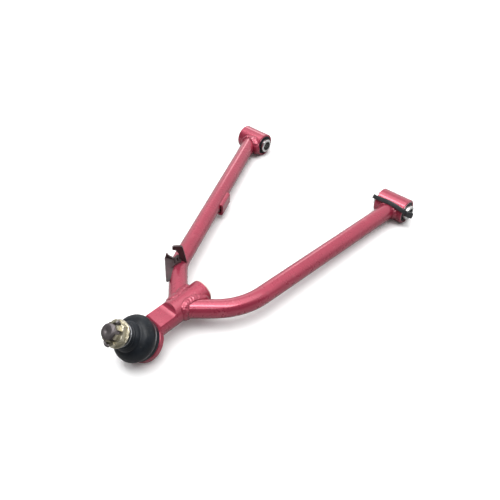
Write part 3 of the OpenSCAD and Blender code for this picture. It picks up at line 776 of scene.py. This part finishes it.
# Stations along the loop: along the barrel's axis and out from it in millimetres, and the
# angle round it in degrees
tie_stations = [
    (-15.2, 13.3, 49), (-8, 14.0, 48), (-1, 14.9, 47), (6, 14.9, 48), (12, 13.9, 52),
    (16.2, 13.0, 55), (19.0, 11.2, 57), (20.9, 8.2, 58), (20.9, 5.2, 58), (18.4, 3.5, 58),
    (10, 3.2, 56), (0, 3.2, 53), (-10, 3.2, 51), (-17.8, 3.3, 50), (-20.2, 4.8, 49),
    (-20.5, 7.8, 49), (-19.2, 10.9, 49), (-17.3, 12.7, 49),
]


def on_barrel(along_mm, out_mm, degrees):
    """A point beside the front barrel, and the direction out from the barrel's axis."""
    out = Vector((0, -math.sin(math.radians(degrees)), math.cos(math.radians(degrees))))
    return front_pivot + Vector((along_mm, 0, 0)) * MM + out * out_mm * MM, out


tie_line, tie_wide, tie_thick = [], [], []
flat_line = smooth_line(tie_stations, 10, closed=True)
for i, p in enumerate(flat_line):
    point, out = on_barrel(*p)
    step = flat_line[(i + 1) % len(flat_line)] - flat_line[i - 1]
    tangent = (X_AXIS * step.x + out * step.y).normalized()
    across = X_AXIS.cross(out).normalized()
    tie_line.append(point)
    tie_wide.append(across)
    tie_thick.append(across.cross(tangent))
strap = sweep("cable_tie_strap", tie_line, tie_wide, tie_thick,
              round_corners(TIE_W, TIE_T, 0.35 * MM), True)
dress(strap, tie_nylon, "arm")

# Its head: a tapered block with the pawl's window and the tail cut short behind it
head_point, head_out = on_barrel(20.9, 8.8, 62)
head_run = (X_AXIS * 0.45 - head_out * 0.89).normalized()
head_across = X_AXIS.cross(head_out).normalized()
head_up = head_across.cross(head_run)
head_frame = frame_at(head_point, head_run, head_across, head_up)
WINDOW_RIM = 0.9 * MM
WINDOW_DEPTH = 1.4 * MM
HEAD_ROUNDING = 0.35 * MM
block_mm = [(-3.6, 2.3, -1.6), (-3.6, -2.3, -1.6), (3.6, -2.9, -2.4), (3.6, 2.9, -2.4),
            (-3.6, 2.3, 1.4), (-3.6, -2.3, 1.4), (3.6, -2.9, 2.6), (3.6, 2.9, 2.6)]
block_faces = [(0, 1, 2, 3), (7, 6, 5, 4), (0, 4, 5, 1), (1, 5, 6, 2), (2, 6, 7, 3),
               (3, 7, 4, 0)]
head = new_object("cable_tie_head", in_metres(block_mm), block_faces)
bm = bmesh.new()
bm.from_mesh(outward(head).data)
bm.faces.ensure_lookup_table()
window = max(bm.faces, key=lambda f: f.calc_center_median().x)
bmesh.ops.inset_individual(bm, faces=[window], thickness=WINDOW_RIM)
bmesh.ops.translate(bm, verts=list(window.verts), vec=(-WINDOW_DEPTH, 0, 0))
bmesh.ops.bevel(bm, geom=list(bm.edges), offset=HEAD_ROUNDING, segments=3, profile=0.5,
                affect="EDGES")
bm.to_mesh(head.data)
bm.free()
head.data.transform(head_frame)
tail_mm = smooth_line([(2.0, 0.2, 0.3), (3.6, 0.3, 0.35), (5.0, 0.4, 0.7)], 5)
tail = sweep("cable_tie_tail", [head_frame @ p for p in in_metres(tail_mm)],
             [head_across] * len(tail_mm), [head_up] * len(tail_mm),
             round_corners(TIE_W * 0.8, TIE_T, 0.3 * MM), False)
for piece in (head, tail):
    dress(piece, tie_nylon, "arm")

# ---------------------------------------------------------------- stage
FLOOR_LEVEL = cad_low.z
FLOOR_REACH = 4
FLOOR_LIFT = 0.03
floor = new_object("floor", [(x * FLOOR_REACH, y * FLOOR_REACH, FLOOR_LEVEL)
                             for x, y in ((-1, -1), (1, -1), (1, 1), (-1, 1))],
                   [(0, 1, 2, 3)], False)


def split_camera_rays(tree, others, camera, target):
    """The camera sees one shader, and all other rays meet the other."""
    seen = tree.nodes.new("ShaderNodeLightPath")
    pick = tree.nodes.new("ShaderNodeMixShader")
    tree.links.new(seen.outputs["Is Camera Ray"], pick.inputs["Fac"])
    tree.links.new(others.outputs[0], pick.inputs[1])
    tree.links.new(camera.outputs[0], pick.inputs[2])
    tree.links.new(pick.outputs[0], target.inputs["Surface"])


def floor_material():
    """White card that shows as white to the camera and bounces a little less."""
    material = bpy.data.materials.new("floor_card")
    material.use_nodes = True
    tree = material.node_tree
    tree.nodes.clear()
    out = tree.nodes.new("ShaderNodeOutputMaterial")
    bounce = tree.nodes.new("ShaderNodeBsdfDiffuse")
    shown = tree.nodes.new("ShaderNodeBsdfDiffuse")
    lift = tree.nodes.new("ShaderNodeEmission")
    both = tree.nodes.new("ShaderNodeAddShader")
    bounce.inputs["Color"].default_value = (0.35, 0.35, 0.35, 1)
    shown.inputs["Color"].default_value = (0.98, 0.98, 0.98, 1)
    lift.inputs["Color"].default_value = (1, 1, 1, 1)
    lift.inputs["Strength"].default_value = FLOOR_LIFT
    tree.links.new(shown.outputs[0], both.inputs[0])
    tree.links.new(lift.outputs[0], both.inputs[1])
    split_camera_rays(tree, bounce, both, out)
    return material


floor.data.materials.append(floor_material())

# The studio: a white sweep behind the arm, a dim room on the camera's side
SWEEP = Vector((-0.25, 0.80, 0.55)).normalized()
SWEEP_LEVEL = 0.95
ROOM_LEVEL = 0.12
SWEEP_EDGE = (0.12, 0.5)    # where the sweep fades in, as a cosine from its middle


def studio_world():
    """The surroundings that light the arm; the camera itself sees plain white."""
    world = bpy.data.worlds.new("studio")
    world.use_nodes = True
    tree = world.node_tree
    tree.nodes.clear()
    out = tree.nodes.new("ShaderNodeOutputWorld")
    heading = tree.nodes.new("ShaderNodeTexCoord")
    facing = tree.nodes.new("ShaderNodeVectorMath")
    level = tree.nodes.new("ShaderNodeMapRange")
    studio = tree.nodes.new("ShaderNodeBackground")
    white = tree.nodes.new("ShaderNodeBackground")
    facing.operation = "DOT_PRODUCT"
    facing.inputs[1].default_value = SWEEP
    level.interpolation_type = "SMOOTHSTEP"
    for socket, number in (("From Min", SWEEP_EDGE[0]), ("From Max", SWEEP_EDGE[1]),
                           ("To Min", ROOM_LEVEL), ("To Max", SWEEP_LEVEL)):
        level.inputs[socket].default_value = number
    tree.links.new(heading.outputs["Generated"], facing.inputs[0])
    tree.links.new(facing.outputs["Value"], level.inputs["Value"])
    tree.links.new(level.outputs["Result"], studio.inputs["Strength"])
    for background in (studio, white):
        background.inputs["Color"].default_value = (1, 1, 1, 1)
    white.inputs["Strength"].default_value = 1
    split_camera_rays(tree, studio, white, out)
    return world


bpy.context.scene.world = studio_world()

arm_middle = Vector((0.11, -0.15, 0))


def softbox(name, direction, distance, width, depth, power):
    """A rectangular lamp above the arm, its long side along X."""
    lamp = bpy.data.lights.new(name, "AREA")
    lamp.shape = "RECTANGLE"
    lamp.size = width
    lamp.size_y = depth
    lamp.energy = power
    holder = bpy.data.objects.new(name, lamp)
    bpy.context.scene.collection.objects.link(holder)
    back = Vector(direction).normalized()
    depth_axis = back.cross(X_AXIS).normalized()
    wide_axis = depth_axis.cross(back).normalized()
    holder.matrix_world = frame_at(arm_middle + back * distance, wide_axis, depth_axis, back)


softbox("ceiling_softbox", (0.0, 0.08, 0.99), distance=3.4, width=5.0, depth=3.0, power=70)
softbox("overhead_softbox", (0.0, -0.14, 0.99), distance=3.9, width=5.0, depth=0.9, power=92)
softbox("side_softbox", (-0.60, 0.66, 0.45), distance=3.5, width=0.6, depth=0.7, power=3.6)
softbox("front_softbox", (-0.05, -0.51, 0.86), distance=4.0, width=4.6, depth=0.35, power=32)

CAMERA_AT = Vector((0.38939, -0.43671, 0.35568))
AZIMUTH = math.radians(42.334)
ELEVATION = math.radians(42.148)
ROLL = math.radians(-0.353)
camera = bpy.data.cameras.new("camera")
camera.lens = 41.19
camera.sensor_width = 36
viewer = bpy.data.objects.new("camera", camera)
bpy.context.scene.collection.objects.link(viewer)
back = Vector((math.sin(AZIMUTH) * math.cos(ELEVATION), -math.cos(AZIMUTH) * math.cos(ELEVATION),
               math.sin(ELEVATION)))
right = Vector((math.cos(AZIMUTH), math.sin(AZIMUTH), 0))
viewer.matrix_world = (frame_at(CAMERA_AT, right, back.cross(right), back)
                       @ Matrix.Rotation(ROLL, 4, "Z"))
bpy.context.scene.camera = viewer
bpy.context.scene.view_settings.view_transform = "Standard"
